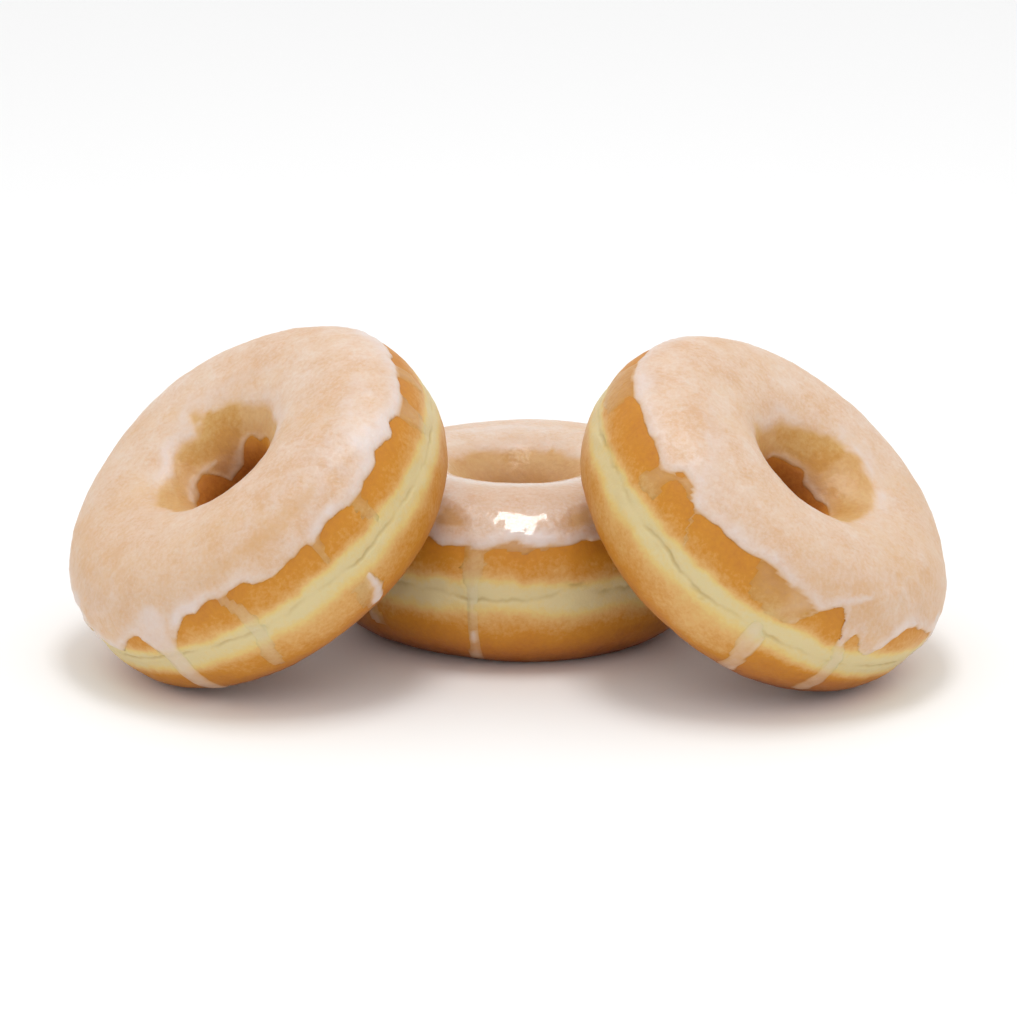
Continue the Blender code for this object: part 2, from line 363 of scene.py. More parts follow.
# Random swells and grain: (size of the bumps in mm, number that seeds it).
RIPPLES = {
    "thin edge": (7.0, 2), "inner edge": (6.0, 3), "wide glaze": (15.0, 4), "fine glaze": (3.6, 5),
    "tiny glaze": (1.7, 6), "folds": (5.5, 7), "swells": (48.0, 8), "lumps": (11.0, 9),
    "crumb": (3.4, 14), "grain": (1.6, 15), "wide crust": (20.0, 16), "fine crust": (5.0, 17),
    "pimples": (1.5, 18),
}
OUTER_EDGE_SEED = 1
SEAM_SEED = 12
OPENING_SEED = 13

# How rough each coat is, and how wet where it is wet.
GLAZE_FINISH = {"left": (0.42, 0.0), "middle": (0.36, 0.9), "right": (0.42, 0.0)}

# The lights in metres: where each hangs, its width and height, and the point it shines at.
SOFTBOX = ((0.02, -0.06, 0.75), (0.18, 0.36), (0.02, 0.0, 0.03))
FRONT_LIGHT = ((0.0, -1.3, 0.45), (1.6, 0.7), (0.0, 0.0, 0.02))
# The width of the camera's sensor in mm.
SENSOR_WIDTH = 36.0


# -------- settings


def size_in_mm(name, description, value):
    return FloatProperty(
        name=name, description=description, default=value * MM, unit="LENGTH", precision=5
    )


def point_in_mm(name, description, place):
    return FloatVectorProperty(
        name=name, description=description, size=len(place), unit="LENGTH", precision=4,
        default=tuple(value * MM for value in place),
    )


def tilt(name, description, degrees):
    return FloatProperty(
        name=name, description=description, default=math.radians(degrees), subtype="ANGLE"
    )


def tint(name, description, value):
    return FloatVectorProperty(
        name=name, description=description, size=3, subtype="COLOR", min=0, max=1, default=value
    )


class RingSettings(PropertyGroup):
    """Sizes of the ring that all three doughnuts share."""

    ring_radius: size_in_mm("Ring radius", "From the hole's middle to the middle of the dough", 26.5)
    half_width: size_in_mm("Half width", "Half the width of the dough across the ring", 18.5)
    over_rim: size_in_mm("Height over rim", "From the rim's seam up to the glazed crest", 19.3)
    under_rim: size_in_mm("Depth under rim", "From the rim's seam down to the underside", 19.2)
    squareness: FloatProperty(
        name="Squareness", description="2 is a round section, more is a squarer one", default=2.31
    )
    settle: size_in_mm("Settle", "How deep a doughnut's weight flattens it on the table", 0.5)
    unevenness: size_in_mm("Unevenness", "Slow swells of the baked shape", 0.28)
    steps_around: IntProperty(name="Steps around", description="Columns of faces", default=600)
    steps_across: IntProperty(name="Steps across", description="Rows of faces", default=144)


class PlaceSettings(PropertyGroup):
    """Where each doughnut stands: centre, size, lean and the way its low side points."""

    left_centre: point_in_mm("Left centre", "Above this point of the table", (-55.3, -16.2))
    left_size: FloatProperty(name="Left size", description="Against the shared ring", default=1.009)
    left_lean: tilt("Left lean", "Tilt from lying flat", 38.5)
    left_low_side: tilt("Left low side", "The way the low side points", 209.2)
    middle_centre: point_in_mm("Middle centre", "Above this point of the table", (2.3, 18.6))
    middle_size: FloatProperty(name="Middle size", description="Against the shared ring", default=1.0)
    middle_lean: tilt("Middle lean", "Tilt from lying flat", 0.0)
    middle_low_side: tilt("Middle low side", "The way the low side points", 0.0)
    right_centre: point_in_mm("Right centre", "Above this point of the table", (57.0, -20.7))
    right_size: FloatProperty(name="Right size", description="Against the shared ring", default=0.981)
    right_lean: tilt("Right lean", "Tilt from lying flat", 40.1)
    right_low_side: tilt("Right low side", "The way the low side points", -26.5)


class GlazeSettings(PropertyGroup):
    """The poured coat of sugar glaze."""

    edge_depth: size_in_mm("Edge bead", "How much deeper the coat is along its lower edge", 0.24)
    edge_reach: size_in_mm("Edge reach", "How far in from its edge the bead is deepest", 1.2)
    wall: size_in_mm("Wall", "Greatest thickness of the coat", 1.6)
    sink: size_in_mm("Sink", "How far the coat reaches into the crust", 0.12)
    fold_height: size_in_mm("Fold height", "Height of the folds where the glaze has slumped", 0.45)
    hidden_rim: size_in_mm("Hidden rim", "Where the coat's edge is cut off inside the crust", -0.75)


class ColourSettings(PropertyGroup):
    """Colours of crust and glaze."""

    band: tint("Band", "Pale band around the rim", (0.655, 0.54, 0.285))
    band_edge: tint("Band edge", "Yellow edge of the pale band", (0.69, 0.50, 0.18))
    tan: tint("Tan", "Light crust beside the band", (0.66, 0.375, 0.125))
    gold: tint("Gold", "Golden crust", (0.55, 0.222, 0.017))
    # This colour is also reached where shade is painted low on the ring.
    brown: tint("Brown", "Browner crust low on the ring", (0.43, 0.148, 0.020))
    # This colour holds darker crust and painted shade, under the ring and deep in the hole.
    dark_and_shade: tint("Dark", "Darkest crust, under the ring and in the hole", (0.26, 0.065, 0.006))
    thin_glaze: tint("Thin glaze", "Film that the crust shows through", (0.84, 0.54, 0.29))
    warm_glaze: tint("Warm glaze", "Glaze where the crust glows through", (0.61, 0.38, 0.235))
    glaze: tint("Glaze", "Glaze of the usual depth", (0.665, 0.475, 0.355))
    pale_glaze: tint("Pale glaze", "Glaze where the sugar has set paler", (0.71, 0.57, 0.48))
    # This colour also paints the sheen and reflection streaks.
    milky_glaze_and_sheen: tint("Thick glaze", "Milky beads and runs of glaze", (0.69, 0.585, 0.545))


class StageSettings(PropertyGroup):
    """The camera, the floor and the lights."""

    camera_at: point_in_mm("Camera", "Where the camera stands", (0.43, -1231.1, 397.7))
    camera_down: tilt("Camera tilt", "How far down the camera looks", 16.58)
    lens: FloatProperty(name="Lens", description="Focal length in millimetres", default=203.3)
    floor_size: FloatProperty(
        name="Floor size", description="Width of the pale floor", default=16.0, unit="LENGTH"
    )
    floor_colour: tint("Floor colour", "Pale floor", (0.92, 0.92, 0.92))
    sky: FloatProperty(name="Fill light", description="Strength of the even light", default=0.95)
    softbox: FloatProperty(name="Softbox", description="Power of the light overhead", default=1.6)
    front: FloatProperty(name="Front", description="Power of the wide light in front", default=0.35)


# -------- shape


def ease(value, low, high):
    """Go smoothly from 0 at low to 1 at high."""
    part = np.clip((value - low) / (high - low), 0.0, 1.0)
    return part * part * (3.0 - 2.0 * part)


def follow(points, value):
    """Read a line through points, given as {position: height}."""
    return np.interp(value, list(points), list(points.values()))


def follow_round(points, around):
    """Read such a line where it closes on itself after a full turn."""
    return np.interp(around, list(points), list(points.values()), period=360.0)


def joined(one, other, blend):
    """The larger of two fields, with a fillet as wide as blend where they meet."""
    share = np.clip(0.5 + 0.5 * (one - other) / blend, 0.0, 1.0)
    return other + (one - other) * share + blend * share * (1.0 - share)


def ripples(points, size, seed, stretch=(1.0, 1.0, 1.0)):
    """A smooth random field over points in mm, with bumps about this size, mostly within +-1.5."""
    waves = 16
    chance = np.random.default_rng(seed)
    total = np.zeros(len(points))
    for _ in range(waves):
        way = chance.normal(size=3)
        way /= np.linalg.norm(way)
        length = size * chance.uniform(0.6, 1.7)
        start = chance.uniform(0.0, 2.0 * math.pi)
        total += np.sin(points @ (way / np.array(stretch)) * 2.0 * math.pi / length + start)
    return total / math.sqrt(0.5 * waves)


def ripples_on(side, kind, points, stretch=(1.0, 1.0, 1.0)):
    """The ripples of one kind on one doughnut."""
    size, number = RIPPLES[kind]
    return ripples(points, size, seed_of(side, number), stretch)


def seed_of(side, number):
    return 10 * SIDES.index(side) + number


def signed_power(value, power):
    return np.sign(value) * np.abs(value) ** power


def section(across, lift):
    """The ring's section: distance out from its middle line, and height, both in metres."""
    ring = bpy.context.scene.doughnut_ring
    angle = np.radians(across)
    height = np.where(np.sin(angle) >= 0, ring.over_rim, ring.under_rim)
    out = signed_power(np.cos(angle), 2.0 / ring.squareness)
    up = signed_power(np.sin(angle), 2.0 / ring.squareness)
    normal_out = signed_power(out, ring.squareness - 1.0) / ring.half_width
    normal_up = signed_power(up, ring.squareness - 1.0) / height
    size = np.hypot(normal_out, normal_up)
    return ring.half_width * out + lift * normal_out / size, height * up + lift * normal_up / size


def girth_and_arc(around, across):
    """Where points lie on the rolled-out skin, in mm: along the rim, and up from it."""
    ring = bpy.context.scene.doughnut_ring
    table = np.linspace(-180.0, 200.0, 761)
    out, up = section(table, 0.0)
    steps = np.hypot(np.diff(out), np.diff(up))
    arc = np.concatenate(([0.0], np.cumsum(steps)))
    arc -= np.interp(0.0, table, arc)
    rim = ring.ring_radius + ring.half_width
    return np.radians(around) * rim / MM, np.interp(across, table, arc) / MM


def around_gap(around, centre):
    """Degrees from centre round to each point, from -180 to 180."""
    return (around - centre + 180.0) % 360.0 - 180.0


def waves_around(around, counts, seed):
    """For each count, a sine wave with that many crests around the ring, starting anywhere."""
    chance = np.random.default_rng(seed)
    starts = [chance.uniform(0.0, 2.0 * math.pi) for _ in counts]
    return [np.sin(np.radians(count * around) + start) for count, start in zip(counts, starts)]


def edge_line(points, around, seed, waver):
    """A coat's edge: a line through the points, closed on itself, rounded, with a little waver."""
    fine = np.arange(0.0, 360.0, EDGE_STEP)
    line = follow_round(points, fine)
    rounding = OUTER_ROUNDING if waver else HOLE_ROUNDING
    spread = np.exp(-((np.arange(-EDGE_WINDOW, EDGE_WINDOW + 1) * EDGE_STEP / rounding) ** 2))
    spread /= spread.sum()
    closed = np.concatenate((line[-EDGE_WINDOW:], line, line[:EDGE_WINDOW]))
    line = np.convolve(closed, spread, mode="valid")
    for wave in waves_around(fine, EDGE_WAVES, seed):
        line += waver * wave
    return np.interp(around % 360.0, np.append(fine, 360.0), np.append(line, line[0]))


def edge_distance(points, around, across, radius, seed=0, waver=0.0):
    """Distance in mm from the coat's edge line to each point, positive on the crest's side."""
    aside = 0.5
    steepest = 1.5
    line = edge_line(points, around, seed, waver)
    beside = edge_line(points, around + aside, seed, waver)
    _, here = girth_and_arc(around, across)
    _, edge = girth_and_arc(around, line)
    _, edge_beside = girth_and_arc(around, beside)
    slope = (edge_beside - edge) / (math.radians(aside) * radius)
    return (here - edge) / np.sqrt(1.0 + np.clip(slope, -steepest, steepest) ** 2)


def ring_radius_at(across):
    """Distance in mm from the ring's axis to its skin."""
    out, _ = section(across, 0.0)
    return (bpy.context.scene.doughnut_ring.ring_radius + out) / MM


def stroke_distance(base, path):
    """Distance in mm inside a stroke of changing width that lies along the skin."""
    pieces_per_leg = 6
    far_off = 9.0
    near_enough = 8.0
    around, across, width = (np.array(column, dtype=float) for column in zip(*path))
    steps = np.linspace(0.0, len(path) - 1.0, pieces_per_leg * (len(path) - 1) + 1)
    knots = np.arange(len(path))
    around, across, width = (np.interp(steps, knots, column) for column in (around, across, width))
    line = place_points(around, across, np.zeros(len(steps))) / MM
    reach = np.ptp(line, axis=0).max() + near_enough
    near = np.flatnonzero(np.linalg.norm(base - line.mean(axis=0), axis=1) < reach)
    inside = np.full(len(base), -far_off)
    for start, end, first, last in zip(line, line[1:], width, width[1:]):
        along = end - start
        share = np.clip((base[near] - start) @ along / (along @ along), 0.0, 1.0)
        away = np.linalg.norm(base[near] - start - share[:, None] * along, axis=1)
        inside[near] = np.maximum(inside[near], first + share * (last - first) - away)
    return inside


def patch_distance(around, across, outline):
    """Distance in mm inside an outline that lies on the skin."""
    centre = np.mean([corner[0] for corner in outline])
    corner_across = np.array([corner[1] for corner in outline], dtype=float)
    corner_gap = np.array([corner[0] - centre for corner in outline])
    _, corner_y = girth_and_arc(0.0, corner_across)
    corner_x = np.radians(corner_gap) * ring_radius_at(corner_across)
    _, y = girth_and_arc(0.0, across)
    x = np.radians(around_gap(around, centre)) * ring_radius_at(across)
    distance = np.full(len(x), np.inf)
    crossings = np.zeros(len(x), dtype=bool)
    for i in range(len(outline)):
        x0, y0 = corner_x[i - 1], corner_y[i - 1]
        dx, dy = corner_x[i] - x0, corner_y[i] - y0
        share = np.clip(((x - x0) * dx + (y - y0) * dy) / (dx * dx + dy * dy), 0.0, 1.0)
        distance = np.minimum(distance, np.hypot(x - x0 - share * dx, y - y0 - share * dy))
        spans = (y0 > y) != (corner_y[i] > y)
        level = dy if dy else 1.0
        crossings ^= spans & (x < x0 + (y - y0) * dx / level)
    return np.where(crossings, distance, -distance)


def rising(inside, full, slope, drop=None):
    """Depth that leaves 0 at this slope, rounds over to full, and drops away below 0 outside."""
    within = full * (1.0 - np.exp(-slope * np.maximum(inside, 0.0) / full))
    return np.where(inside > 0.0, within, (drop or slope) * inside)


def coat_depth(side, around, across, base):
    """Depth of glaze in mm at each point, below 0 where the dough is bare, and how milky it is,
    painted sheen included.
    """
    wide = ripples_on(side, "wide glaze", base)
    fine = ripples_on(side, "fine glaze", base)
    tiny = ripples_on(side, "tiny glaze", base)
    full, milk = full_depth(side, around, across, base, wide, fine)
    coat, milk, outer = pour_to_edge(side, around, across, full, milk, wide, fine)
    for depth, outline in THIN_SHEETS[side]:
        inside = patch_distance(around, across, outline) + 0.30 * fine + 0.08 * tiny
        sheet = 1.4 * depth * (1.0 + 0.15 * tiny)
        slope = min(0.12, 0.8 * depth)
        coat = joined(coat, rising(inside, sheet, slope, BORDER_DROP), SHEET_FILLET)
        milk = np.maximum(milk, 0.6 * ease(inside, -0.6, 0.3) * ease(-outer, -0.3, 0.3))
    for depth, path in RUNS[side]:
        inside = stroke_distance(base, path) + 0.12 * fine
        run = depth * (1.0 + 0.12 * tiny)
        slope = min(EDGE_SLOPE, 0.05 + 1.3 * depth)
        fillet = THICK_RUN_FILLET if depth > THICK_RUN else RUN_FILLET
        coat = joined(coat, rising(inside, run, slope, BORDER_DROP), fillet)
        milk = np.maximum(milk, 0.75 * ease(inside, -0.4, 0.5))
    # pale streaks of painted sheen and reflection, laid over the milky glaze
    for strength, path in SHEEN_STREAKS[side]:
        milk = milk + strength * ease(stroke_distance(base, path) + 0.8 * fine, -2.0, 2.0)
    hole = -edge_distance(INNER_EDGE[side], around, across, INNER_EDGE_RADIUS)
    hole = hole + 0.3 * ripples_on(side, "inner edge", base)
    lip = LIP * np.exp(-(((hole - 0.7) / 0.5) ** 2))
    coat = np.minimum(coat + lip, rising(hole, np.maximum(coat, 0.05) + lip, HOLE_SLOPE))
    return coat, np.clip(milk, 0.0, 1.0)


def full_depth(side, around, across, base, wide, fine):
    """Depth of the coat away from its edge, thin in the hole and in its patches, and its milk."""
    full = follow(COAT, across) * (1.0 + 0.09 * wide + 0.07 * fine)
    thin = -edge_distance(THIN_EDGE[side], around, across, THIN_EDGE_RADIUS)
    thin = thin + 0.5 * ripples_on(side, "thin edge", base)
    share = ease(thin, -1.4, 0.6)
    milk = 0.45 * np.exp(-(((thin - 1.8) / 1.5) ** 2)) * (1.0 + 0.5 * wide)
    if side != "middle":
        low_side = ease(np.cos(np.radians(around)), -0.3, 0.9) * (1.0 - ease(across, 60.0, 110.0))
        full *= 1.0 - LOW_SIDE_THINNING * low_side
    full = full * share + FILM * (1.0 + 0.20 * wide) * (1.0 - share)
    for depth, outline in THIN_PATCHES[side]:
        share = ease(patch_distance(around, across, outline) + 0.30 * fine, -0.7, 0.9)
        full += (depth - full) * share
        milk *= 1.0 - share
    return full, milk


def pour_to_edge(side, around, across, full, milk, wide, fine):
    """End the coat at its outer edge in a milky bead; also gives the distance in from there."""
    glaze = bpy.context.scene.doughnut_glaze
    milky, creep = EDGE_LOOK[side]
    seed = seed_of(side, OUTER_EDGE_SEED)
    outer = edge_distance(OUTER_EDGE[side], around, across, OUTER_EDGE_RADIUS, seed, OUTER_WAVER)
    outer = outer + 0.10 * fine + creep
    reach = glaze.edge_reach / MM
    bead = glaze.edge_depth / MM * np.exp(-(((outer - reach) / reach) ** 2)) * (1.0 + 0.25 * wide)
    inward = np.maximum(outer - 1.4 - 0.6 * wide, 0.0)
    milk = milk + milky * (1.0 + 0.25 * wide + 0.2 * fine) * np.exp(-((inward / 1.9) ** 2))
    return rising(outer, full + bead, EDGE_SLOPE), milk, outer


def folds_in_glaze(side, around, across):
    """Fine folds, 1 high at most, where the glaze has slumped together."""
    girth, arc = girth_and_arc(around_gap(around, 0.0), across)
    flat = np.column_stack((girth, arc, 0.0 * arc))
    folds = 1.0 - np.abs(ripples_on(side, "folds", flat, stretch=(2.6, 1.0, 1.0)))
    slack = np.zeros(len(around))
    for centre, spread, low, high, strength in SLACK[side]:
        here = strength * np.exp(-((around_gap(around, centre) / spread) ** 2))
        here *= ease(across, low, low + 12.0) * (1.0 - ease(across, high, high + 20.0))
        slack = np.maximum(slack, here)
    return slack * np.maximum(folds, -0.4)


def dough_lift(side, around, across, base, fill):
    """Lift of the baked surface in mm; fill, 0 to 1, is how far glaze smooths it over."""
    ring = bpy.context.scene.doughnut_ring
    lift = ring.unevenness / MM * ripples_on(side, "swells", base)
    lift += LUMPS * ripples_on(side, "lumps", base)
    for centre, level, wide, high, height in SWELLS[side]:
        off_centre = (around_gap(around, centre) / wide) ** 2
        lift += height * np.exp(-off_centre - ((across - level) / high) ** 2)
    _, arc = girth_and_arc(around, across)
    lift -= RIM_HOLLOW * np.exp(-(((arc + 0.3) / 2.6) ** 2))
    lift -= ROOM_FOR_GLAZE * ease(np.minimum(across, 180.0 - across), 22.0, 45.0)
    band = np.exp(-((across / 10.0) ** 4))
    rough = (0.025 + 0.03 * band) * ripples_on(side, "crumb", base)
    rough += (0.010 + 0.016 * band) * ripples_on(side, "grain", base)
    rough -= CRACK_DEPTH * crack_field(side, around, across)
    return lift + rough * (1.0 - fill)


def seam_line(side, around):
    """Where the seam wanders, in degrees across."""
    line = follow_round(SEAM[side], around % 360.0)
    waves = waves_around(around, SEAM_WAVER, seed_of(side, SEAM_SEED))
    for size, wave in zip(SEAM_WAVER.values(), waves):
        line += size * wave
    return line


def seam_strength(side, around):
    """How far the seam has opened, 0 to 1, in stretches."""
    opened = np.full(len(around), SEAM_OPENING)
    for wave in waves_around(around, OPENING_WAVES, seed_of(side, OPENING_SEED)):
        opened += OPENING_SWING * wave
    return np.clip(opened, 0.08, 1.0)


def crack_field(side, around, across):
    """How deep in the seam's crack or a tear each point lies, 0 to 1."""
    _, arc = girth_and_arc(around, across)
    _, line = girth_and_arc(around, seam_line(side, around))
    crack = seam_strength(side, around) * np.exp(-(((arc - line) / CRACK_WIDTH) ** 2))
    for centre, level, half_length in TEARS[side]:
        _, high = girth_and_arc(0.0, level)
        sideways, _ = girth_and_arc(around_gap(around, centre), across)
        bend = 0.3 * np.sin(sideways * 1.6) - 0.25 * sideways
        tear = np.exp(-(((arc - high - bend) / TEAR_WIDTH) ** 2) - (sideways / half_length) ** 4)
        crack = np.maximum(crack, tear)
    return crack


def crust_and_shade_level(side, around, across, base):
    """How brown the crust is at each point, with borders that wander a little, and painted shade
    under the ring.
    """
    swing, shift = BAND_SWING[side]
    wobble = 0.9 * ripples_on(side, "wide crust", base) + 0.6 * ripples_on(side, "fine crust", base)
    wobble -= swing * np.cos(np.radians(around)) + shift
    # painted shade under the ring, fading in below the rim, set for each direction
    under = ease(-across, 1.0, UNDERSIDE_SHADE_FADE[side]) * follow_round(UNDERSIDE_SHADE[side], around % 360.0)
    below = np.where(across > 180.0, across - 360.0, across)
    return follow(CRUST_AND_SHADE, np.where(across > 140.0, below, across + wobble)) + under


# -------- meshes


def deselect_all():
    for thing in bpy.context.view_layer.objects:
        thing.select_set(False)


def add_ring(name):
    """A plain torus with as many faces as a finished piece needs."""
    ring = bpy.context.scene.doughnut_ring
    deselect_all()
    bpy.ops.mesh.primitive_torus_add(
        major_segments=ring.steps_around, minor_segments=ring.steps_across,
        major_radius=ring.ring_radius, minor_radius=ring.half_width,
    )
    piece = bpy.context.object
    piece.name = name
    piece.data.name = name
    return piece


def read_points(mesh):
    flat = np.empty(len(mesh.vertices) * 3)
    mesh.vertices.foreach_get("co", flat)
    return flat.reshape(-1, 3)


def write_points(mesh, points):
    mesh.vertices.foreach_set("co", points.reshape(-1))
    mesh.update()


def angles_of(points):
    """The angles of a plain torus's points, with rows drawn together on the rim and in the hole."""
    ring = bpy.context.scene.doughnut_ring
    drawn_together = 0.22
    around = np.degrees(np.arctan2(points[:, 1], points[:, 0]))
    plain = np.arctan2(points[:, 2], np.hypot(points[:, 0], points[:, 1]) - ring.ring_radius)
    across = np.degrees(plain - drawn_together * np.sin(2.0 * plain))
    return around, np.where(across < -120.0, across + 360.0, across)


def place_points(around, across, lift):
    """Points of a ring lying at the origin, lift in mm out from its section."""
    ring = bpy.context.scene.doughnut_ring
    out, up = section(across, lift * MM)
    radius = ring.ring_radius + out
    turn = np.radians(around)
    return np.column_stack((radius * np.cos(turn), radius * np.sin(turn), up))


def rest_height(lean, size):
    """How high a leaning ring's centre is when it stands on the table and has settled."""
    ring = bpy.context.scene.doughnut_ring
    dual = ring.squareness / (ring.squareness - 1.0)
    side = (ring.half_width * math.sin(lean)) ** dual
    under = (ring.under_rim * math.cos(lean)) ** dual
    reach = ring.ring_radius * math.sin(lean) + (side + under) ** (1.0 / dual)
    return reach * size - ring.settle


def put_in_place(side, points):
    """Turn, lean and move a ring's points to where its doughnut stands, flat on the table."""
    places = bpy.context.scene.doughnut_places
    names = ("centre", "size", "lean", "low_side")
    centre, size, lean, low_side = (getattr(places, f"{side}_{name}") for name in names)
    turn = np.array(Euler((0.0, lean, low_side)).to_matrix())
    moved = points @ turn.T * size + np.array((*centre, rest_height(lean, size)))
    moved[:, 2] = np.maximum(moved[:, 2], 0.0)
    return moved


def paint(mesh, name, values):
    """Store one number for each point, for the materials to read."""
    layer = mesh.attributes.new(name, "FLOAT", "POINT")
    layer.data.foreach_set("value", np.asarray(values, dtype=np.float32))


def skin_angles(side, points):
    """The angles of a torus's points, with the rows near the rim following the seam."""
    around, across = angles_of(points)
    return around, across + seam_line(side, around) * np.exp(-((across / 16.0) ** 2))


def add_skin(side, name):
    """A new ring, the angles of its points, and where they lie on the bare section, in mm."""
    piece = add_ring(name)
    around, across = skin_angles(side, read_points(piece.data))
    base = place_points(around, across, np.zeros(len(around))) / MM
    return piece, piece.data, around, across, base


def make_dough_piece(side):
    piece, mesh, around, across, base = add_skin(side, side + "_crust")
    lift = dough_lift(side, around, across, base, 0.0)
    write_points(mesh, put_in_place(side, place_points(around, across, lift)))
    # crust level, with painted shade under the ring and deep in the hole
    paint(mesh, "brown", crust_and_shade_level(side, around, across, base))
    paint(mesh, "crack", crack_field(side, around, across))
    mesh.shade_smooth()
    return piece


def make_glaze_piece(side):
    glaze = bpy.context.scene.doughnut_glaze
    piece, mesh, around, across, base = add_skin(side, side + "_icing")
    depth, milk = coat_depth(side, around, across, base)
    kept = depth > glaze.hidden_rim / MM
    folds = folds_in_glaze(side, around, across) * ease(depth, *FOLDS)
    lift = dough_lift(side, around, across, base, ease(depth, *HIDES_GRAIN)) + depth
    lift += glaze.fold_height / MM * folds
    pimples = PIMPLES * ripples_on(side, "pimples", base)
    lift += pimples * ease(depth, 0.1, 0.3) * (1.0 - ease(across, 45.0, 75.0))
    write_points(mesh, put_in_place(side, place_points(around, across, lift)))
    paint(mesh, "depth", depth)
    # milky glaze together with the painted sheen streaks
    paint(mesh, "milk", np.clip(milk + 0.9 * np.clip(folds - 0.25, 0.0, 1.0), 0.0, 1.0))
    wet = np.zeros(len(across))
    for starts, full, still_full, ends in WET_BANDS:
        wet += ease(across, starts, full) * (1.0 - ease(across, still_full, ends))
    paint(mesh, "wet", wet)
    # crust level, with painted shade under the ring and deep in the hole
    paint(mesh, "brown", crust_and_shade_level(side, around, across, base))
    wall = np.clip((depth * MM + glaze.sink) / glaze.wall, THINNEST_WALL, 1.0)
    group = piece.vertex_groups.new(name="wall")
    for index in np.flatnonzero(kept):
        group.add([int(index)], float(wall[index]), "REPLACE")
    delete_points(mesh, ~kept)
    thicken = piece.modifiers.new("wall", "SOLIDIFY")
    thicken.thickness = glaze.wall
    thicken.offset = -1.0
    thicken.vertex_group = group.name
    bpy.ops.object.modifier_apply(modifier=thicken.name)
    mesh.shade_smooth()
    return piece


def delete_points(mesh, chosen):
    """Delete the chosen points, and the faces on them, in edit mode."""
    for parts in (mesh.polygons, mesh.edges):
        parts.foreach_set("select", np.zeros(len(parts), dtype=bool))
    mesh.vertices.foreach_set("select", chosen)
    bpy.ops.object.mode_set(mode="EDIT")
    bpy.ops.mesh.select_mode(type="VERT")
    bpy.ops.mesh.delete(type="VERT")
    bpy.ops.object.mode_set(mode="OBJECT")


# -------- materials


def new_material(name):
    material = bpy.data.materials.new(name)
    material.use_nodes = True
    return material, material.node_tree, material.node_tree.nodes["Principled BSDF"]


def set_inputs(node, values):
    for name, value in values.items():
        node.inputs[name].default_value = value


def add_node(tree, kind, **values):
    node = tree.nodes.new(kind)
    for key, value in values.items():
        setattr(node, key, value)
    return node


def attribute(tree, name):
    return add_node(tree, "ShaderNodeAttribute", attribute_name=name).outputs["Fac"]


def noise(tree, size, detail=3.0, rough=0.55):
    """Noise with spots about size metres across, on the piece's own coordinates."""
    place = tree.nodes.new("ShaderNodeTexCoord").outputs["Object"]
    texture = tree.nodes.new("ShaderNodeTexNoise")
    set_inputs(texture, {"Scale": 0.5 / size, "Detail": detail, "Roughness": rough})
    tree.links.new(place, texture.inputs["Vector"])
    return texture.outputs["Fac"]


def calculate(tree, operation, first, second=None, third=None):
    """One step of arithmetic on numbers or sockets."""
    node = add_node(tree, "ShaderNodeMath", operation=operation)
    for socket, value in zip(node.inputs, (first, second, third)):
        if value is None:
            continue
        if isinstance(value, (int, float)):
            socket.default_value = value
        else:
            tree.links.new(value, socket)
    return node.outputs[0]


def ramp(tree, factor, stops):
    node = tree.nodes.new("ShaderNodeValToRGB")
    for _ in stops[2:]:
        node.color_ramp.elements.new(0.5)
    for element, (place, colour) in zip(node.color_ramp.elements, stops):
        element.position = place
        element.color = (*colour, 1.0)
    tree.links.new(factor, node.inputs["Fac"])
    return node.outputs["Color"]


def mix_colour(tree, factor, first, second):
    """Mix two colours, each a plain colour or a socket."""
    node = add_node(tree, "ShaderNodeMix", data_type="RGBA")
    tree.links.new(factor, node.inputs["Factor"])
    sockets = [socket for socket in node.inputs if socket.type == "RGBA"]
    for socket, value in zip(sockets, (first, second)):
        if isinstance(value, tuple):
            socket.default_value = (*value, 1.0)
        else:
            tree.links.new(value, socket)
    return [socket for socket in node.outputs if socket.type == "RGBA"][0]


def crust_colour(tree):
    """Pale band, golden and brown crust, by how brown the dough was baked, and painted shade under
    the ring and deep in the hole.
    """
    colours = bpy.context.scene.doughnut_colours
    fine = noise(tree, 0.5 * MM, rough=0.6)
    patch = noise(tree, 4.5 * MM, detail=5.0, rough=0.62)
    level = calculate(tree, "MULTIPLY_ADD", fine, 0.24, attribute(tree, "brown"))
    level = calculate(tree, "MULTIPLY_ADD", patch, 0.30, level)
    level = calculate(tree, "SUBTRACT", level, 0.27)
    stops = (
        (0.0, colours.band), (0.17, colours.band_edge), (0.33, colours.tan),
        (0.50, colours.gold), (0.72, colours.brown), (0.92, colours.dark_and_shade),
    )
    return ramp(tree, level, stops)


def bumps(tree, shader, heights, strength):
    """Bump from noises given as (spot size in metres, share of the height)."""
    deepest = 0.12 * MM
    total = 0.0
    for size, share in heights:
        total = calculate(tree, "MULTIPLY_ADD", noise(tree, size), share, total)
    bump = tree.nodes.new("ShaderNodeBump")
    set_inputs(bump, {"Strength": strength, "Distance": deepest})
    tree.links.new(total, bump.inputs["Height"])
    tree.links.new(bump.outputs["Normal"], shader.inputs["Normal"])


def dough_material(name):
    material, tree, shader = new_material(name)
    colour = crust_colour(tree)
    crack = calculate(tree, "MULTIPLY", attribute(tree, "crack"), 0.5)
    in_the_crack = (0.38, 0.24, 0.06)
    colour = mix_colour(tree, crack, colour, in_the_crack)
    tree.links.new(colour, shader.inputs["Base Color"])
    gloss = noise(tree, 2.5 * MM)
    tree.links.new(calculate(tree, "MULTIPLY_ADD", gloss, 0.25, 0.36), shader.inputs["Roughness"])
    bumps(tree, shader, ((0.4 * MM, 1.0), (1.3 * MM, 1.6), (4.0 * MM, 1.5)), 0.5)
    set_inputs(shader, {
        "Subsurface Weight": 0.15, "Subsurface Radius": (1.0, 0.5, 0.2),
        "Subsurface Scale": 1.5 * MM, "Specular IOR Level": 0.3,
    })
    return material


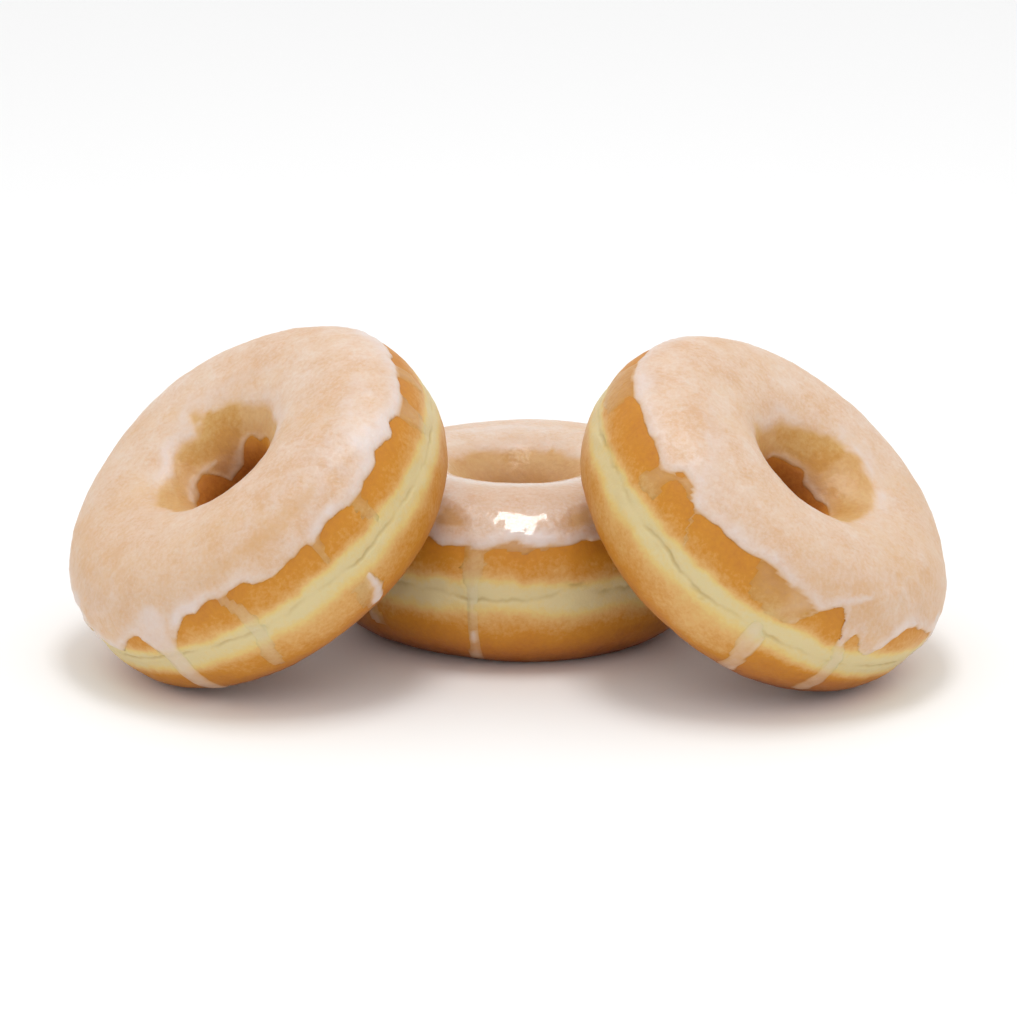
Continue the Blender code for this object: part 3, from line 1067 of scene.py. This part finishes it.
def glaze_material(name, roughness, wetness):
    material, tree, shader = new_material(name)
    colours = bpy.context.scene.doughnut_colours
    depth = attribute(tree, "depth")
    patch = noise(tree, 3.2 * MM, detail=5.0, rough=0.62)
    wide = noise(tree, 11.0 * MM, detail=2.0)
    fleck = noise(tree, 0.5 * MM, rough=0.65)
    level = calculate(tree, "MULTIPLY_ADD", wide, 0.8, patch)
    level = calculate(tree, "MULTIPLY_ADD", fleck, 1.0, level)
    level = calculate(tree, "SUBTRACT", level, 0.9)
    stops = ((0.22, colours.warm_glaze), (0.50, colours.glaze), (0.82, colours.pale_glaze))
    sugar = ramp(tree, level, stops)
    speckle = calculate(tree, "MULTIPLY_ADD", fleck, 0.5, 0.75)
    # whiten where the glaze is milky and where sheen is painted in
    milk = calculate(tree, "MULTIPLY", attribute(tree, "milk"), speckle)
    milk.node.use_clamp = True
    sugar = mix_colour(tree, milk, sugar, tuple(colours.milky_glaze_and_sheen))
    faded_per_mm = 6.0
    clear = calculate(tree, "MULTIPLY", depth, -faded_per_mm)
    clear = calculate(tree, "EXPONENT", clear)
    cover = calculate(tree, "SUBTRACT", 1.0, clear)
    cover.node.use_clamp = True
    sugar = mix_colour(tree, cover, tuple(colours.thin_glaze), sugar)
    colour = mix_colour(tree, cover, crust_colour(tree), sugar)
    tree.links.new(colour, shader.inputs["Base Color"])
    gloss = noise(tree, 3.0 * MM)
    dull = calculate(tree, "MULTIPLY_ADD", gloss, 0.20, roughness - 0.1)
    tree.links.new(dull, shader.inputs["Roughness"])
    bumps(tree, shader, ((0.5 * MM, 1.0), (1.4 * MM, 1.8), (4.0 * MM, 2.4)), 0.75)
    if wetness:
        wet = calculate(tree, "MULTIPLY", attribute(tree, "wet"), wetness)
        tree.links.new(wet, shader.inputs["Coat Weight"])
        set_inputs(shader, {"Coat Roughness": 0.08, "Coat IOR": 1.7})
    set_inputs(shader, {
        "Subsurface Weight": 0.3, "Subsurface Radius": (1.0, 0.65, 0.45),
        "Subsurface Scale": 1.6 * MM,
    })
    return material


# -------- operators


def finish_piece(piece, material, node):
    piece.data.materials.clear()
    piece.data.materials.append(material)
    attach(piece, "root")
    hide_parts(node)


def side_setting():
    choices = [(side, side.title(), side + " doughnut") for side in SIDES]
    return EnumProperty(name="Side", description="Which doughnut", items=choices)


class DOUGHNUT_OT_dough(Operator):
    """Make the baked ring of one doughnut"""

    bl_idname = "doughnut.dough"
    bl_label = "Dough"
    bl_options = {"REGISTER", "UNDO"}
    side: side_setting()

    def execute(self, context):
        piece = make_dough_piece(self.side)
        finish_piece(piece, dough_material(self.side + "_crust"), self.side + "_dough")
        return {"FINISHED"}


class DOUGHNUT_OT_glaze(Operator):
    """Pour the coat of glaze over one doughnut"""

    bl_idname = "doughnut.glaze"
    bl_label = "Glaze"
    bl_options = {"REGISTER", "UNDO"}
    side: side_setting()

    def execute(self, context):
        piece = make_glaze_piece(self.side)
        icing = glaze_material(self.side + "_icing", *GLAZE_FINISH[self.side])
        finish_piece(piece, icing, self.side + "_glaze")
        return {"FINISHED"}


def add_area_light(name, power, at, size, aim):
    data = bpy.data.lights.new(name, "AREA")
    data.shape = "RECTANGLE"
    data.size, data.size_y = size
    data.energy = power
    light = bpy.data.objects.new(name, data)
    bpy.context.scene.collection.objects.link(light)
    light.location = at
    light.rotation_euler = (Vector(aim) - Vector(at)).to_track_quat("-Z", "Y").to_euler()


class DOUGHNUT_OT_stage(Operator):
    """Set up the camera, the pale floor and the lights"""

    bl_idname = "doughnut.stage"
    bl_label = "Stage"
    bl_options = {"REGISTER", "UNDO"}

    def execute(self, context):
        stage = context.scene.doughnut_stage
        deselect_all()
        bpy.ops.mesh.primitive_plane_add(size=stage.floor_size, location=(0.0, 0.0, 0.0))
        floor = context.object
        floor.name = "floor"
        material, _, shader = new_material("floor")
        pale = (*stage.floor_colour, 1.0)
        set_inputs(shader, {"Base Color": pale, "Roughness": 0.9, "Specular IOR Level": 0.1})
        floor.data.materials.append(material)
        world = bpy.data.worlds.new("even_light")
        world.use_nodes = True
        white = (1.0, 1.0, 1.0, 1.0)
        set_inputs(world.node_tree.nodes["Background"], {"Color": white, "Strength": stage.sky})
        context.scene.world = world
        add_area_light("softbox", stage.softbox, *SOFTBOX)
        add_area_light("front", stage.front, *FRONT_LIGHT)
        camera_data = bpy.data.cameras.new("camera")
        camera_data.lens = stage.lens
        camera_data.sensor_width = SENSOR_WIDTH
        camera = bpy.data.objects.new("camera", camera_data)
        context.scene.collection.objects.link(camera)
        camera.location = stage.camera_at
        camera.rotation_euler = (math.pi / 2 - stage.camera_down, 0.0, 0.0)
        context.scene.camera = camera
        context.scene.view_settings.view_transform = "Standard"
        return {"FINISHED"}


class DOUGHNUT_PT_panel(Panel):
    """Lists the pieces in the sidebar"""

    bl_idname = "DOUGHNUT_PT_panel"
    bl_label = "Glazed ring doughnuts"
    bl_space_type = "VIEW_3D"
    bl_region_type = "UI"
    bl_category = "Doughnuts"

    def draw(self, context):
        layout = self.layout
        for settings in SETTINGS:
            group = getattr(context.scene, settings)
            box = layout.box()
            for name in group.bl_rna.properties.keys():
                if name not in ("rna_type", "name"):
                    box.prop(group, name)
        for side in SIDES:
            row = layout.row()
            row.operator(DOUGHNUT_OT_dough.bl_idname, text=side.title() + " dough").side = side
            row.operator(DOUGHNUT_OT_glaze.bl_idname, text=side.title() + " glaze").side = side
        layout.operator(DOUGHNUT_OT_stage.bl_idname)


SETTINGS = {
    "doughnut_ring": RingSettings,
    "doughnut_places": PlaceSettings,
    "doughnut_glaze": GlazeSettings,
    "doughnut_colours": ColourSettings,
    "doughnut_stage": StageSettings,
}
CLASSES = (
    *SETTINGS.values(), DOUGHNUT_OT_dough, DOUGHNUT_OT_glaze, DOUGHNUT_OT_stage, DOUGHNUT_PT_panel,
)


def register():
    for item in CLASSES:
        bpy.utils.register_class(item)
    for name, settings in SETTINGS.items():
        setattr(bpy.types.Scene, name, PointerProperty(type=settings))


def unregister():
    for name in SETTINGS:
        delattr(bpy.types.Scene, name)
    for item in reversed(CLASSES):
        bpy.utils.unregister_class(item)


def main():
    register()
    for side in SIDES:
        bpy.ops.doughnut.dough(side=side)
        bpy.ops.doughnut.glaze(side=side)
    bpy.ops.doughnut.stage()


if __name__ == "__main__":
    main()
